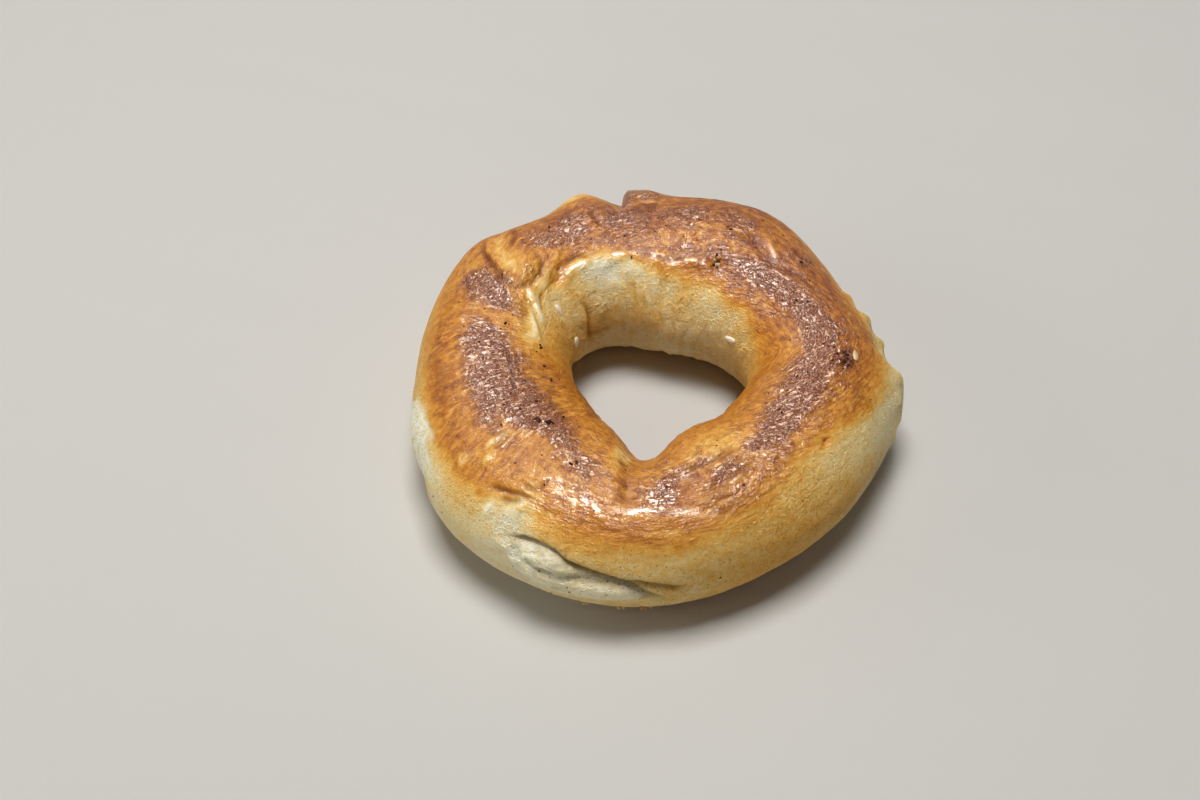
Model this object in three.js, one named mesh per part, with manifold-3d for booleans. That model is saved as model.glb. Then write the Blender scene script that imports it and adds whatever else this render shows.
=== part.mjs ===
// A hand-rolled bread bagel, 114 mm across: a rope of dough about 37 mm thick, bent into an uneven ring,
// with the ends wrapped over each other at the back, a twist fold on the left and a torn side at the front.
// Millimetres, +Z up, origin on the table under the middle of the bagel's box.
//
// A point of the surface is given by two angles in degrees. The ring angle runs counter-clockwise from +X,
// seen from above. The section angle runs round the rope: 0 outside, 90 crest, 180 hole, 270 underside.

import * as THREE from "three";
import { mergeVertices } from "three/addons/utils/BufferGeometryUtils.js";
import Module from "manifold-3d";

// Sizes of the ring at 12 even ring angles, 0, 30, 60 ...
const OUTER_RADIUS = [56, 53, 57.5, 55, 54.5, 57.5, 56.5, 60.5, 59.5, 57, 54.5, 55];
const HOLE_RADIUS = [22.5, 19.5, 15.5, 15.5, 20, 21.5, 19, 17, 19.5, 24, 18, 20];
const CREST_HEIGHT = [33, 33, 33.5, 33.5, 33.5, 33, 32.5, 32, 31.5, 32, 32.5, 33];

const RING_MIDDLE = [-0.3, 1.15]; // sets the middle of the whole box on the origin
const WIDEST_AT = 0.46; // share of the crest height at which the rope is widest
const SQUASH = 1.15; // how far the round underside would reach below the table, which flattens it
const ROPE_RADIUS = 16.5; // turns section degrees into millimetres round the rope

// Rises and hollows of the dough: ring angle, section angle, half length along the ring,
// half length round the rope, rise.
const SWELLS = {
  waistRight: [18, 32, 11, 11, -0.9],
  ragRight: [352, 8, 6, 7, 1.9],
  ragRightUpper: [345, -25, 10, 8, 0.6],
  nickRight: [4, 30, 3, 4, -2.4],
  shoulderBack: [55, 30, 14, 14, 0.4],
  flapRight: [94.5, 46, 4, 9, 1.5],
  flapLeft: [107.5, 46, 5.5, 9, 2.3],
  besideFlap: [119, 42, 9, 12, 0.3],
  kneeOfTwist: [141, 34, 10, 12, 2],
  lobeOfTwist: [146, 99, 6.5, 6, 1.5],
  waistLeft: [205, -5, 6, 12, -1.5],
  tornLump: [244, 19, 5.5, 4.5, 1.3],
  tornBand: [256, 3, 10, 3.2, 0.7],
  insideTorn: [246, 155, 7, 11, 1.1],
  knuckle: [255, 108, 5, 7, 1],
  holePoint: [262, 142, 5.5, 11, -2.9],
  besidePoint: [281, 150, 7, 11, 2.9],
  insideFront: [306, 148, 8, 11, -1.3],
  insideRight: [338, 160, 11, 12, 1.2],
};

// Folds and torn edges: half width, depth, and the route as pairs of ring angle and section angle.
const FOLDS = {
  tornLip: [2.8, 2.8, [[234, 26], [241, 34], [249, 30], [254, 19], [262, 13], [268, 5], [271, -6]]],
  tearEnd: [2.4, 0.9, [[263, 15], [271, 11], [278, 9]]],
  ropeEnd: [2.6, 3, [[100, 30], [100.5, 50], [101, 68], [101, 86]]],
  twistValley: [3.4, 1.5, [[133, 40], [137, 60], [142, 76], [148, 91]]],
  lobeCrease: [1.8, 1, [[138, 101], [143, 109], [149, 109], [154, 101]]],
  innerLip: [1.7, 0.9, [[62, 113], [74, 118], [86, 117], [97, 114]]],
  leftArm: [1.6, 0.8, [[182, 103], [193, 103], [206, 94]]],
  pinch: [2.2, 1.6, [[261, 66], [260, 90], [258, 108], [261, 132]]],
};

// Stray sesame seeds that stick to the crust, half sunk in it.
const SEED_LENGTH = 3;
const SEED_WIDTH = 1.8;
const SEED_THICKNESS = 1.1;
const SEED_TAPER = 0.35; // the pointed end is this much narrower than the round one
const SEED_SIDES = 5;
const SEED_ROWS = 4;
// Ring angle, section angle, turn of the long side away from the ring's run, lean on edge.
const SEEDS = [
  [28, 162, 12, 0],
  [149.5, 171, 80, 0],
  [150, 137.5, 75, 70],
  [354, 69.5, 10, 0],
];

// The mesh is finest at the torn front left and along the crest.
const RING_STEPS = 108;
const SECTION_STEPS = 46;
const FINEST_RING_ANGLE = 245;
const FINEST_SECTION_ANGLE = 50;
const RING_CROWDING = 0.35;
const SECTION_CROWDING = 0.3;

const rad = THREE.MathUtils.degToRad;
const { smoothstep, clamp, euclideanModulo } = THREE.MathUtils;

// Shortest way from one angle to another, in degrees.
function turnTo(from, to) {
  return euclideanModulo(to - from + 180, 360) - 180;
}

// A smooth closed curve through values at even ring angles.
function around(values, ringAngle) {
  const place = (euclideanModulo(ringAngle, 360) / 360) * values.length;
  const first = Math.floor(place);
  const along = place - first;
  const value = (step) => values[euclideanModulo(first + step, values.length)];
  const [before, start, end, after] = [value(-1), value(0), value(1), value(2)];
  return (
    start +
    0.5 * along * (end - before) +
    along ** 2 * (before - 2.5 * start + 2 * end - 0.5 * after) +
    0.5 * along ** 3 * (after - before + 3 * (start - end))
  );
}

// Millimetres that a degree takes along the ring and round the rope.
function scaleAt(ringAngle, sectionAngle) {
  const outer = around(OUTER_RADIUS, ringAngle);
  const hole = around(HOLE_RADIUS, ringAngle);
  const radius = (outer + hole) / 2 + ((outer - hole) / 2) * Math.cos(rad(sectionAngle));
  return { along: rad(1) * radius, across: rad(1) * ROPE_RADIUS };
}

function swell([ringAt, sectionAt, halfAlong, halfAcross, rise], ringAngle, sectionAngle, scale) {
  const along = (turnTo(ringAt, ringAngle) * scale.along) / halfAlong;
  const across = (turnTo(sectionAt, sectionAngle) * scale.across) / halfAcross;
  return rise * Math.exp(-(along ** 2) - across ** 2);
}

// A groove along its route, which fades towards both ends.
function fold([halfWidth, depth, route], ringAngle, sectionAngle, scale) {
  let nearest = Infinity;
  let nearestShare = 0;
  const legs = route.length - 1;
  for (let leg = 0; leg < legs; leg += 1) {
    const [ringStart, sectionStart] = route[leg];
    const [ringEnd, sectionEnd] = route[leg + 1];
    const here = new THREE.Vector2(
      turnTo(ringStart, ringAngle) * scale.along,
      turnTo(sectionStart, sectionAngle) * scale.across,
    );
    const run = new THREE.Vector2(
      (ringEnd - ringStart) * scale.along,
      (sectionEnd - sectionStart) * scale.across,
    );
    const share = clamp(here.dot(run) / run.lengthSq(), 0, 1);
    const distance = here.distanceTo(run.multiplyScalar(share));
    if (distance < nearest) {
      nearest = distance;
      nearestShare = (leg + share) / legs;
    }
  }
  const fade = smoothstep(4 * Math.min(nearestShare, 1 - nearestShare), 0, 1);
  return -depth * (0.15 + 0.85 * fade) * Math.exp(-((nearest / halfWidth) ** 2));
}

function relief(ringAngle, sectionAngle) {
  const scale = scaleAt(ringAngle, sectionAngle);
  let rise = 0;
  for (const size of Object.values(SWELLS)) rise += swell(size, ringAngle, sectionAngle, scale);
  for (const size of Object.values(FOLDS)) rise += fold(size, ringAngle, sectionAngle, scale);
  return rise;
}

// The surface of the dough, pressed flat where it meets the table.
function doughPoint(ringAngle, sectionAngle) {
  const outer = around(OUTER_RADIUS, ringAngle);
  const hole = around(HOLE_RADIUS, ringAngle);
  const crest = around(CREST_HEIGHT, ringAngle);
  const widest = WIDEST_AT * crest;
  const rise = relief(ringAngle, sectionAngle);
  const outward = Math.cos(rad(sectionAngle));
  const upward = Math.sin(rad(sectionAngle));
  const reach = upward > 0 ? crest - widest : widest * SQUASH;
  const radius = (outer + hole) / 2 + ((outer - hole) / 2 + rise) * outward;
  const height = Math.max(0, widest + (reach + rise) * upward);
  return new THREE.Vector3(
    RING_MIDDLE[0] + radius * Math.cos(rad(ringAngle)),
    RING_MIDDLE[1] + radius * Math.sin(rad(ringAngle)),
    height,
  );
}

// Even steps round a circle, crowded together near one angle.
function crowdedAngle(step, steps, finest, crowding) {
  const even = (step / steps) * 360;
  return even - (crowding * 180 * Math.sin(rad(even - finest))) / Math.PI;
}

function doughGeometry() {
  const points = [];
  for (let i = 0; i < RING_STEPS; i += 1) {
    const ringAngle = crowdedAngle(i, RING_STEPS, FINEST_RING_ANGLE, RING_CROWDING);
    for (let j = 0; j < SECTION_STEPS; j += 1) {
      const sectionAngle = crowdedAngle(j, SECTION_STEPS, FINEST_SECTION_ANGLE, SECTION_CROWDING);
      points.push(doughPoint(ringAngle, sectionAngle));
    }
  }
  const faces = [];
  for (let i = 0; i < RING_STEPS; i += 1) {
    const nextRing = ((i + 1) % RING_STEPS) * SECTION_STEPS;
    for (let j = 0; j < SECTION_STEPS; j += 1) {
      const nextSection = (j + 1) % SECTION_STEPS;
      const here = i * SECTION_STEPS + j;
      const along = nextRing + j;
      const far = nextRing + nextSection;
      const across = i * SECTION_STEPS + nextSection;
      // Each patch is split along its shorter diagonal, which keeps the folds smooth.
      if (points[here].distanceTo(points[far]) < points[along].distanceTo(points[across])) {
        faces.push(here, along, far, here, far, across);
      } else {
        faces.push(here, along, across, along, far, across);
      }
    }
  }
  const geometry = new THREE.BufferGeometry().setFromPoints(points);
  geometry.setIndex(faces);
  return geometry;
}

// A teardrop-shaped sesame seed, laid on the dough at its place.
function seedGeometry([ringAt, sectionAt, turn, lean]) {
  const seed = new THREE.SphereGeometry(1, SEED_SIDES, SEED_ROWS);
  const place = seed.getAttribute("position");
  for (let i = 0; i < place.count; i += 1) {
    const narrowing = 1 - SEED_TAPER * (0.5 + 0.5 * place.getY(i));
    place.setXYZ(
      i,
      (place.getY(i) * SEED_LENGTH) / 2,
      (place.getX(i) * narrowing * SEED_WIDTH) / 2,
      (place.getZ(i) * narrowing * SEED_THICKNESS) / 2,
    );
  }
  // Swapping two axes turned the faces inside out: a mirror turns them back.
  seed.scale(1, -1, 1);
  seed.rotateX(rad(lean));
  seed.rotateZ(rad(turn));
  const middle = doughPoint(ringAt, sectionAt);
  const alongRing = doughPoint(ringAt + 1, sectionAt).sub(middle).normalize();
  const roundRope = doughPoint(ringAt, sectionAt + 1).sub(middle).normalize();
  const outward = new THREE.Vector3().crossVectors(alongRing, roundRope).normalize();
  roundRope.crossVectors(outward, alongRing);
  seed.applyMatrix4(new THREE.Matrix4().makeBasis(alongRing, roundRope, outward));
  seed.translate(...middle.toArray());
  return seed;
}

function solidOf(wasm, geometry) {
  const bare = geometry.clone();
  bare.deleteAttribute("normal");
  bare.deleteAttribute("uv");
  const merged = mergeVertices(bare, 1e-4);
  return new wasm.Manifold(
    new wasm.Mesh({
      numProp: 3,
      vertProperties: merged.getAttribute("position").array,
      triVerts: new Uint32Array(merged.index.array),
    }),
  );
}

function geometryOf(solid) {
  const { vertProperties, triVerts, numProp } = solid.getMesh();
  const positions = [];
  for (let i = 0; i < vertProperties.length; i += numProp) {
    positions.push(...vertProperties.subarray(i, i + 3));
  }
  const geometry = new THREE.BufferGeometry();
  geometry.setAttribute("position", new THREE.Float32BufferAttribute(positions, 3));
  geometry.setIndex([...triVerts]);
  geometry.computeVertexNormals();
  return geometry;
}

const wasm = await Module();
wasm.setup();

let solid = solidOf(wasm, doughGeometry());
for (const seed of SEEDS) solid = solid.add(solidOf(wasm, seedGeometry(seed)));

const crust = new THREE.MeshStandardMaterial({ color: "#b9742f", roughness: 0.38, metalness: 0 });
const bagel = new THREE.Mesh(geometryOf(solid), crust);
bagel.name = "bagel";

const model = new THREE.Group();
model.add(bagel);

export default model;
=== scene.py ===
"""A hand-rolled, egg-washed bread bagel on a pale floor.

The dough is one closed skin. A point of it is given by two angles in degrees: the ring angle runs
counter-clockwise from +X, seen from above, and the section angle runs round the rope of dough, with 0 at
the outside, 90 at the crest, 180 in the hole and 270 underneath. Sizes are in millimetres until a mesh is
made.
"""
import math

import bpy
import numpy as np
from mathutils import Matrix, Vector


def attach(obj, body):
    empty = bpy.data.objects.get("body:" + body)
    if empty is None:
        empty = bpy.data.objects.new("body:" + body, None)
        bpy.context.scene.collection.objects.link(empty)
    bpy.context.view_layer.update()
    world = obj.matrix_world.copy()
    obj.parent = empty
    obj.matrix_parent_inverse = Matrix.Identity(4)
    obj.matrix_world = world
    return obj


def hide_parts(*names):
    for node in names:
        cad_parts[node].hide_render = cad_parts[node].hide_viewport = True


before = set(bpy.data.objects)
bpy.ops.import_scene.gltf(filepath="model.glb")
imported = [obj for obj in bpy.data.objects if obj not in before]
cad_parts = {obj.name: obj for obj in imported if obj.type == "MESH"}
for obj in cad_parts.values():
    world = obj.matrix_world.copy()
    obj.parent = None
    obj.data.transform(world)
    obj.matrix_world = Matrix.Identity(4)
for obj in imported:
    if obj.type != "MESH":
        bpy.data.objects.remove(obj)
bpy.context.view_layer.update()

BODY = "root"
MM = 0.001

# ---------------- the rolled ring

# Sizes of the ring at 12 even ring angles, 0, 30, 60 ...
OUTER_RADIUS = [56, 53, 57.5, 55, 54.5, 57.5, 56.5, 60.5, 59.5, 57, 54.5, 55]
HOLE_RADIUS = [22.5, 19.5, 15.5, 15.5, 20, 21.5, 19, 17, 19.5, 24, 18, 20]
CREST_HEIGHT = [33, 33, 33.5, 33.5, 33.5, 33, 32.5, 32, 31.5, 32, 32.5, 33]
RING_MIDDLE = (-0.3, 1.15)
WIDEST_AT = 0.46  # share of the crest height at which the rope is widest
SQUASH = 1.15  # how far the round underside would reach below the table, which flattens it
ROPE_RADIUS = 16.5  # turns section degrees into millimetres round the rope
CREST_RADIUS = 39.0  # turns ring degrees into millimetres along the crest

# Rises and hollows: ring angle, section angle, half length along the ring, half length round the rope, rise,
# and, where it isn't 0, how far the long side is turned away from the ring's run.
SWELLS = [
    (18, 32, 11, 11, -0.9),  # waist beside the ragged right side
    (355.5, 8, 5, 7, 2),  # ragged pale dough on the right
    (347, -20, 9, 8, 0.9),
    (4, 30, 3, 4, -2.4),
    (55, 30, 14, 14, 0.4),
    (111, 46, 5.2, 9, 3),  # beside the rope's lapped end
    (119, 42, 9, 12, 0.3),
    (141, 34, 10, 12, 2),  # knee of the twist
    (146, 99, 6.5, 6, 1.5),  # round lobe at its end
    (205, -5, 6, 12, -1.5),
    (244, 19, 5.5, 4.5, 1),  # lump in the tear
    (255, 3, 13, 2.8, 1.2),  # stretched band under the tear
    (246, 155, 7, 11, 1.1),
    (255, 108, 5, 7, 1),  # knuckle beside the pinch
    (262, 142, 5.5, 11, -2.9),  # the hole's point
    (281, 150, 7, 11, 2.9),
    (306, 148, 8, 11, -1.3),
    (338, 160, 11, 12, 1.2),
]

# Blisters and dents that the oven left, in the same terms.
BLISTERS = [
    # the lobe, and ledges over the inner wall
    (146, 98, 3.6, 3.2, 0.5), (126, 119, 5, 1.3, 0.9, 4), (117, 125, 4, 1.4, 0.5, 10),
    (108, 118, 2.6, 1.6, 0.6, 12), (98, 118, 2, 1.3, 0.7, -10), (88, 119, 2.4, 1.6, 0.8, 8),
    (79, 122, 1.9, 1.4, 0.7, -15), (71, 118, 2.2, 1.2, 0.7, 10), (63, 118, 1.9, 1.3, 0.6),
    (84, 128, 3.4, 1.6, 0.4), (100, 129, 3, 1.8, 0.4),
    # a dent beside the twist, and a burst blister at the back
    (140, 121, 2.5, 1.6, -0.9), (94, 73, 1.9, 1.7, 0.5), (94, 73, 0.8, 0.7, -0.4),
    # the front left shoulder
    (216, 50.5, 1.6, 1.2, 0.6), (216, 50.5, 0.6, 0.6, -0.3), (220.5, 61.5, 0.9, 1.3, 0.6),
    (218.5, 74, 1.1, 2.6, 0.8, -12), (224, 69, 0.7, 1.6, 0.4, -12), (224.5, 42, 2, 2, 0.4),
    (224.5, 42, 0.9, 0.9, -0.4), (228.5, 38, 0.7, 1.8, 0.6, -10), (235, 51, 2.2, 2.6, 0.9),
    (233, 68, 1.6, 3, 0.35, 10), (243, 45, 1.8, 1, 0.4), (238.5, 75, 1, 0.6, 0.16, -30),
    (241.5, 73, 1.1, 0.6, 0.18, -30), (244.5, 73, 1, 0.6, 0.17, -20), (247, 71, 1.2, 0.7, 0.18, -30),
    (249.5, 67.5, 1.3, 0.7, 0.2, -40), (251.5, 70, 0.9, 0.6, 0.15, -30), (253, 63.5, 1.3, 0.6, 0.2, -40),
    (256.5, 59.5, 1.3, 0.6, 0.2, -35),
    # pits
    (280, 87, 3.2, 1.5, -0.25), (322.5, 60, 1.1, 0.6, -0.8, 15), (281.5, 10, 1, 0.9, -0.35),
    (286, 108, 0.5, 0.5, -0.4), (289, 111, 0.5, 0.5, -0.4), (58.5, 115, 1.4, 1, -0.9),
    # the ragged right side
    (40, 64, 1.2, 2.4, 0.6), (22, 36, 1.7, 2.6, 0.9), (14.5, 31, 1.6, 2.6, 1.4), (8.5, 20, 1.3, 1.7, 1),
    (3.5, 26, 1.8, 1.8, -0.7), (357, 22, 1.6, 2, 0.9), (350.5, 15, 1.3, 1.7, 0.9),
    (345.5, -6, 1.8, 1.8, 0.8), (350, -2, 3, 1.6, 0.8),
    # lumps of torn dough
    (235, 20, 1.9, 1.4, 1), (238.5, 14, 2, 1.2, 0.9, 20), (242, 9, 1.8, 1.1, 0.7),
    (240, 22, 1.4, 1.1, 0.6), (243, 27, 1.8, 1.1, -0.7), (246.5, 21, 2, 1.3, 1, -20),
    (250, 18, 1.8, 1.1, 0.9, -10), (245, 13.5, 2.2, 0.7, -0.7), (237.5, 27, 1.4, 0.9, 0.6),
]

# Folds and torn edges: half widths on the left and right of the route, depth, how much darker the groove
# baked, how much painted shade lies in it, and the route as ring angles and section angles.
TORN_LIP = [
    (233, 21), (235.5, 27.5), (239, 34), (241.5, 36), (244.5, 35), (247, 33), (248.5, 29),
    (250, 25.5), (253.5, 22), (257.5, 18.5), (262, 14), (265, 8), (269.5, -2.5), (272, -10),
]
FOLDS = [
    (0.8, 2, 1.2, 0, 0.3, *TORN_LIP[1:8]),
    (0.6, 1.2, 1.2, 0, 0.8, *TORN_LIP[5:]),
    (0.5, 1.3, 0.8, 0, 0.55,
     (234.5, 26), (239, 33.5), (241.5, 35.5), (244.5, 34.5), (247, 32.5), (249, 28)),
    (1.8, 0.5, 1, 0, 0.6,
     (247, 10), (250.5, 12.5), (254, 12.5), (257, 11.5), (262.5, 9.5), (265, 3.5), (271, -7)),
    (0.4, 1, 0.9, 0.1, 0.6, (262, 16), (265, 15.5), (269.5, 11), (273, 7.5), (275.5, 7)),
    (0.5, 0.8, 0.7, 0.02, 0.5, (229.5, 50), (231.5, 49), (234.5, 54), (236, 57)),  # under a blister
    (0.4, 3.6, 1.7, 0.03, 0.1, (98.2, 10), (98.2, 30), (98.2, 45), (98.8, 58), (100, 72)),  # lap's foot
    (0.4, 0.6, 0.5, 0.12, 0.3, (110.5, 72), (111.5, 78), (111, 86), (110, 92)),
    (2.4, 1.8, 1, -0.19, 0, (134, 38), (140, 59), (145, 77), (149, 89), (151, 98)),  # twist's valley
    (0.5, 0.9, 0.9, 0.18, 0.5, (138, 40), (145, 56), (148, 70), (151, 84), (153.5, 88), (157, 92)),
    (0.9, 0.4, 0.7, 0.14, 0.4, (133, 54), (137, 66), (141, 74)),
    (0.5, 0.8, 0.7, 0.12, 0.45,
     (137.5, 95), (139.5, 104), (145, 110.5), (151.5, 109), (155.5, 101.5), (155, 95)),  # lobe
    (0.6, 0.6, -0.45, -0.12, 0, (129, 100), (134, 106), (138.5, 111.5), (144, 113), (150, 112)),
    (0.6, 0.6, -0.45, -0.12, 0, (135, 113), (140, 116.5), (146, 117.5), (151, 115.5)),  # ridges
    (0.8, 0.8, -0.6, -0.16, 0, (152, 110), (155, 114), (157.5, 120), (161, 126), (167, 131)),
    (0.7, 0.6, -0.4, -0.14, 0, (160, 114), (163, 119), (168, 122.5), (174, 122), (179, 118)),
    (0.6, 0.6, 0.5, 0.12, 0.3, (149, 119), (154, 123), (158, 129)),
    (0.7, 0.7, -0.5, -0.1, 0, (165, 119), (171, 124), (178, 127)),
    (0.8, 0.4, 0.6, 0.12, 0.4, (141, 117), (133, 113.5), (126, 112), (119, 115)),
    (0.4, 0.3, 0.4, 0.12, 0.55,
     (64, 108), (67.5, 112.5), (72, 114.5), (76.5, 117), (80.5, 120),
      (86, 118), (92, 117), (96, 116), (101, 113), (107, 111)),  # lip over the inner wall
    (0.3, 0.25, 0.2, 0.2, 0.6,
     (182, 97), (184.5, 100.5), (190, 102.5), (196, 101.5), (203, 100.5), (205.5, 96.5), (208, 92)),
    (0.3, 0.3, 0.3, 0.18, 0.5, (183, 106), (188, 107.5), (193, 107)),  # left arm
    (1.6, 1.9, 0.9, 0.06, 0.1, (262, 66), (260.5, 78), (260, 90), (258, 108), (261, 132)),  # pinch
    (0.5, 0.6, 0.6, 0.14, 0.5, (255, 109), (257, 112), (260, 114)),
    (0.8, 0.5, 0.7, 0.12, 0.3, (135, 146), (134, 160), (136.5, 172), (135, 192)),
    (1.2, 1, 0.5, 0.06, 0, (84, 128), (85, 143), (86, 160), (84, 176)),  # soft pleats in the hole
    (1, 1.2, 0.5, 0.06, 0, (66, 126), (69, 141), (68, 158), (70, 172)),
    (1.1, 1, 0.4, 0.05, 0, (105, 134), (103, 148), (106, 166)),
    (0.6, 0.5, 0.4, 0.1, 0.3, (119, 178), (128, 179), (136, 176), (141, 178)),
    (0.6, 0.5, 0.7, 0.1, 0.6, (225, 49), (230, 54), (234, 57.5), (238, 57)),
    (0.5, 0.6, 0.5, 0.1, 0.4, (232, 62), (237, 65), (238.5, 75)),
    (0.6, 0.9, 0.5, 0.08, 0.3, (277, 96), (283, 99), (291, 95), (300, 97)),
    (1.1, 1.4, 0.6, 0.12, 0.1, (56, 80), (53, 83), (47, 88), (40.5, 90.5), (34, 86), (29, 80.5), (19, 78)),
    (0.9, 0.9, -0.3, -0.1, 0, (50, 73), (48.5, 76), (45, 80.5), (42, 84.5), (40, 87)),
]

# The torn lip hangs over the hollow below it: how far, and how wide above and below its edge, in mm.
LIP_EDGE = 1.1
LIP_SAG = 1.4
LIP_WIDTHS = (2.2, 0.5)

# The rope's end, lapped over its start at the back: ring angle of its edge, height in mm, how far the lap
# stays level and then fades in ring degrees, and the section angles between which it sinks in.
LAP_EDGE = 97.7
LAP_HEIGHT = 1.9
LAP_RUN = (5, 6)
LAP_SINKS = (50, 68)

# How far wrinkles slip round the rope by each ring angle: they run along the ring where this stays level and
# lean where it climbs. On the left arm they run across the ring instead.
SLIP_AT = [0, 150, 300, 360]
SLIP = [60, 0, 0, 60]
CROSSED_FROM = (150, 172)
CROSSED_TO = (224, 240)

# The skin's net of vertices, finest on the crest.
RING_STEPS = 520
SECTION_STEPS = 188
FINEST_SECTION_ANGLE = 75
SECTION_CROWDING = 0.40


def turn_to(start, end):
    """Shortest way from one angle to another, in degrees."""
    return (end - start + 180) % 360 - 180


def ease(value, low, high):
    """0 below low, 1 above high, and a smooth climb between."""
    share = np.clip((value - low) / (high - low), 0, 1)
    return share * share * (3 - 2 * share)


def around(values, ring):
    """A smooth closed curve through values at even ring angles."""
    values = np.asarray(values, float)
    place = (ring % 360) / 360 * len(values)
    first = np.floor(place).astype(int)
    along = place - first
    before, start, end, after = (values[(first + step) % len(values)] for step in (-1, 0, 1, 2))
    return (
        start
        + 0.5 * along * (end - before)
        + along**2 * (before - 2.5 * start + 2 * end - 0.5 * after)
        + 0.5 * along**3 * (after - before + 3 * (start - end))
    )


def scale_at(ring, section):
    """Millimetres that a degree takes along the ring and round the rope."""
    outer, hole = around(OUTER_RADIUS, ring), around(HOLE_RADIUS, ring)
    radius = (outer + hole) / 2 + (outer - hole) / 2 * np.cos(np.radians(section))
    return np.radians(radius), np.radians(ROPE_RADIUS)


def swell(ring, section, ring_at, section_at, half_along, half_across, rise, turn=0):
    """A smooth round rise."""
    scale_along, scale_across = scale_at(ring, section)
    along = turn_to(ring_at, ring) * scale_along
    across = turn_to(section_at, section) * scale_across
    cos, sin = math.cos(math.radians(turn)), math.sin(math.radians(turn))
    along, across = along * cos + across * sin, across * cos - along * sin
    return rise * np.exp(-((along / half_along) ** 2) - (across / half_across) ** 2)


def all_swells(ring, section, swells):
    return sum(swell(ring, section, *size) for size in swells)


def distance_to(route, ring, section):
    """How far each point is from a route over the skin, in mm, above 0 on its left and below 0 on its right,
    and how far along the route, from 0 to 1."""
    scale_along, scale_across = scale_at(ring, section)
    nearest = np.full(np.shape(ring), 1e9)
    nearest_share = np.zeros(np.shape(ring))
    nearest_side = np.ones(np.shape(ring))
    legs = len(route) - 1
    for leg, ((ring_start, section_start), (ring_end, section_end)) in enumerate(zip(route, route[1:])):
        along = turn_to(ring_start, ring) * scale_along
        across = turn_to(section_start, section) * scale_across
        run_along = (ring_end - ring_start) * scale_along
        run_across = (section_end - section_start) * scale_across
        share = np.clip((along * run_along + across * run_across) / (run_along**2 + run_across**2), 0, 1)
        distance = np.hypot(along - share * run_along, across - share * run_across)
        closer = distance < nearest
        nearest = np.where(closer, distance, nearest)
        nearest_share = np.where(closer, (leg + share) / legs, nearest_share)
        nearest_side = np.where(closer, np.sign(run_along * across - run_across * along), nearest_side)
    return nearest * nearest_side, nearest_share


def fold(ring, section, left_width, right_width, route):
    """1 in the bottom of a groove along its route, and 0 outside it. The groove fades towards both ends."""
    distance, share = distance_to(route, ring, section)
    fade = ease(4 * np.minimum(share, 1 - share), 0, 1)
    width = np.where(distance > 0, left_width, right_width)
    return (0.15 + 0.85 * fade) * np.exp(-((distance / width) ** 2))


def lapped_end(ring, section):
    """The rope's end stands on its start with a sharp edge on one side."""
    past = turn_to(LAP_EDGE, ring)
    climb = (section + 90) % 360 - 90
    level, fade = LAP_RUN
    run = np.exp(-((np.minimum(past + level, 0) / fade) ** 2)) * (1 - ease(past, -0.35, 0.35))
    return LAP_HEIGHT * run * (1 - ease(climb, *LAP_SINKS)) * ease(climb, -20, 10)


def dough_points(ring, section, rise):
    """The skin's points in mm, raised along the rope's own radius, and flat where they meet the table."""
    outer, hole, crest = (around(values, ring) for values in (OUTER_RADIUS, HOLE_RADIUS, CREST_HEIGHT))
    widest = WIDEST_AT * crest
    outward, upward = np.cos(np.radians(section)), np.sin(np.radians(section))
    reach = np.where(upward > 0, crest - widest, widest * SQUASH)
    radius = (outer + hole) / 2 + ((outer - hole) / 2 + rise) * outward
    height = np.maximum(0, widest + (reach + rise) * upward)
    x = RING_MIDDLE[0] + radius * np.cos(np.radians(ring))
    y = RING_MIDDLE[1] + radius * np.sin(np.radians(ring))
    return np.stack([x, y, height], axis=-1)


# ---------------- how the oven left the skin


def waves(ring, section, size_along, size_across, seed):
    """Soft random ups and downs, about -1 to 1, of these sizes in mm, which close up round ring and rope."""
    cells_ring = max(3, round(2 * math.pi * CREST_RADIUS / size_along))
    cells_section = max(3, round(2 * math.pi * ROPE_RADIUS / size_across))
    angles = np.random.default_rng(seed).uniform(0, 2 * math.pi, (cells_ring, cells_section))
    lean_ring, lean_section = np.cos(angles), np.sin(angles)
    u = (ring % 360) / 360 * cells_ring
    v = (section % 360) / 360 * cells_section
    i, j = np.floor(u).astype(int), np.floor(v).astype(int)
    s, t = u - i, v - j
    ease_s, ease_t = s**3 * (s * (6 * s - 15) + 10), t**3 * (t * (6 * t - 15) + 10)

    def corner(di, dj):
        a, b = (i + di) % cells_ring, (j + dj) % cells_section
        return lean_ring[a, b] * (s - di) + lean_section[a, b] * (t - dj)

    near = corner(0, 0) * (1 - ease_s) + corner(1, 0) * ease_s
    far = corner(0, 1) * (1 - ease_s) + corner(1, 1) * ease_s
    return 1.5 * (near * (1 - ease_t) + far * ease_t)


def crumple(ring, section, size_along, size_across, seed, layers=3):
    """Waves of halving size on top of each other."""
    halvings = [(2**k, seed + k) for k in range(layers)]
    total = sum(waves(ring, section, size_along / k, size_across / k, own) / k for k, own in halvings)
    return total / (2 - 2 ** (1 - layers))


# Where the egg-washed top ends at the outside and in the hole, as section angles every 15 degrees of ring.
WASHED_FROM = [
    42, 43, 44, 40, 30, 25, 25, 25, 25, 30, 34, 38, 40, 40, 38, 44, 48, 44, 42, 48, 56, 60, 56, 46,
]
WASHED_TO = [
    152, 148, 138, 133, 132, 131, 128, 122, 119, 121, 124, 124,
    127, 138, 150, 154, 156, 156, 152, 152, 155, 156, 154, 153,
]

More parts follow.
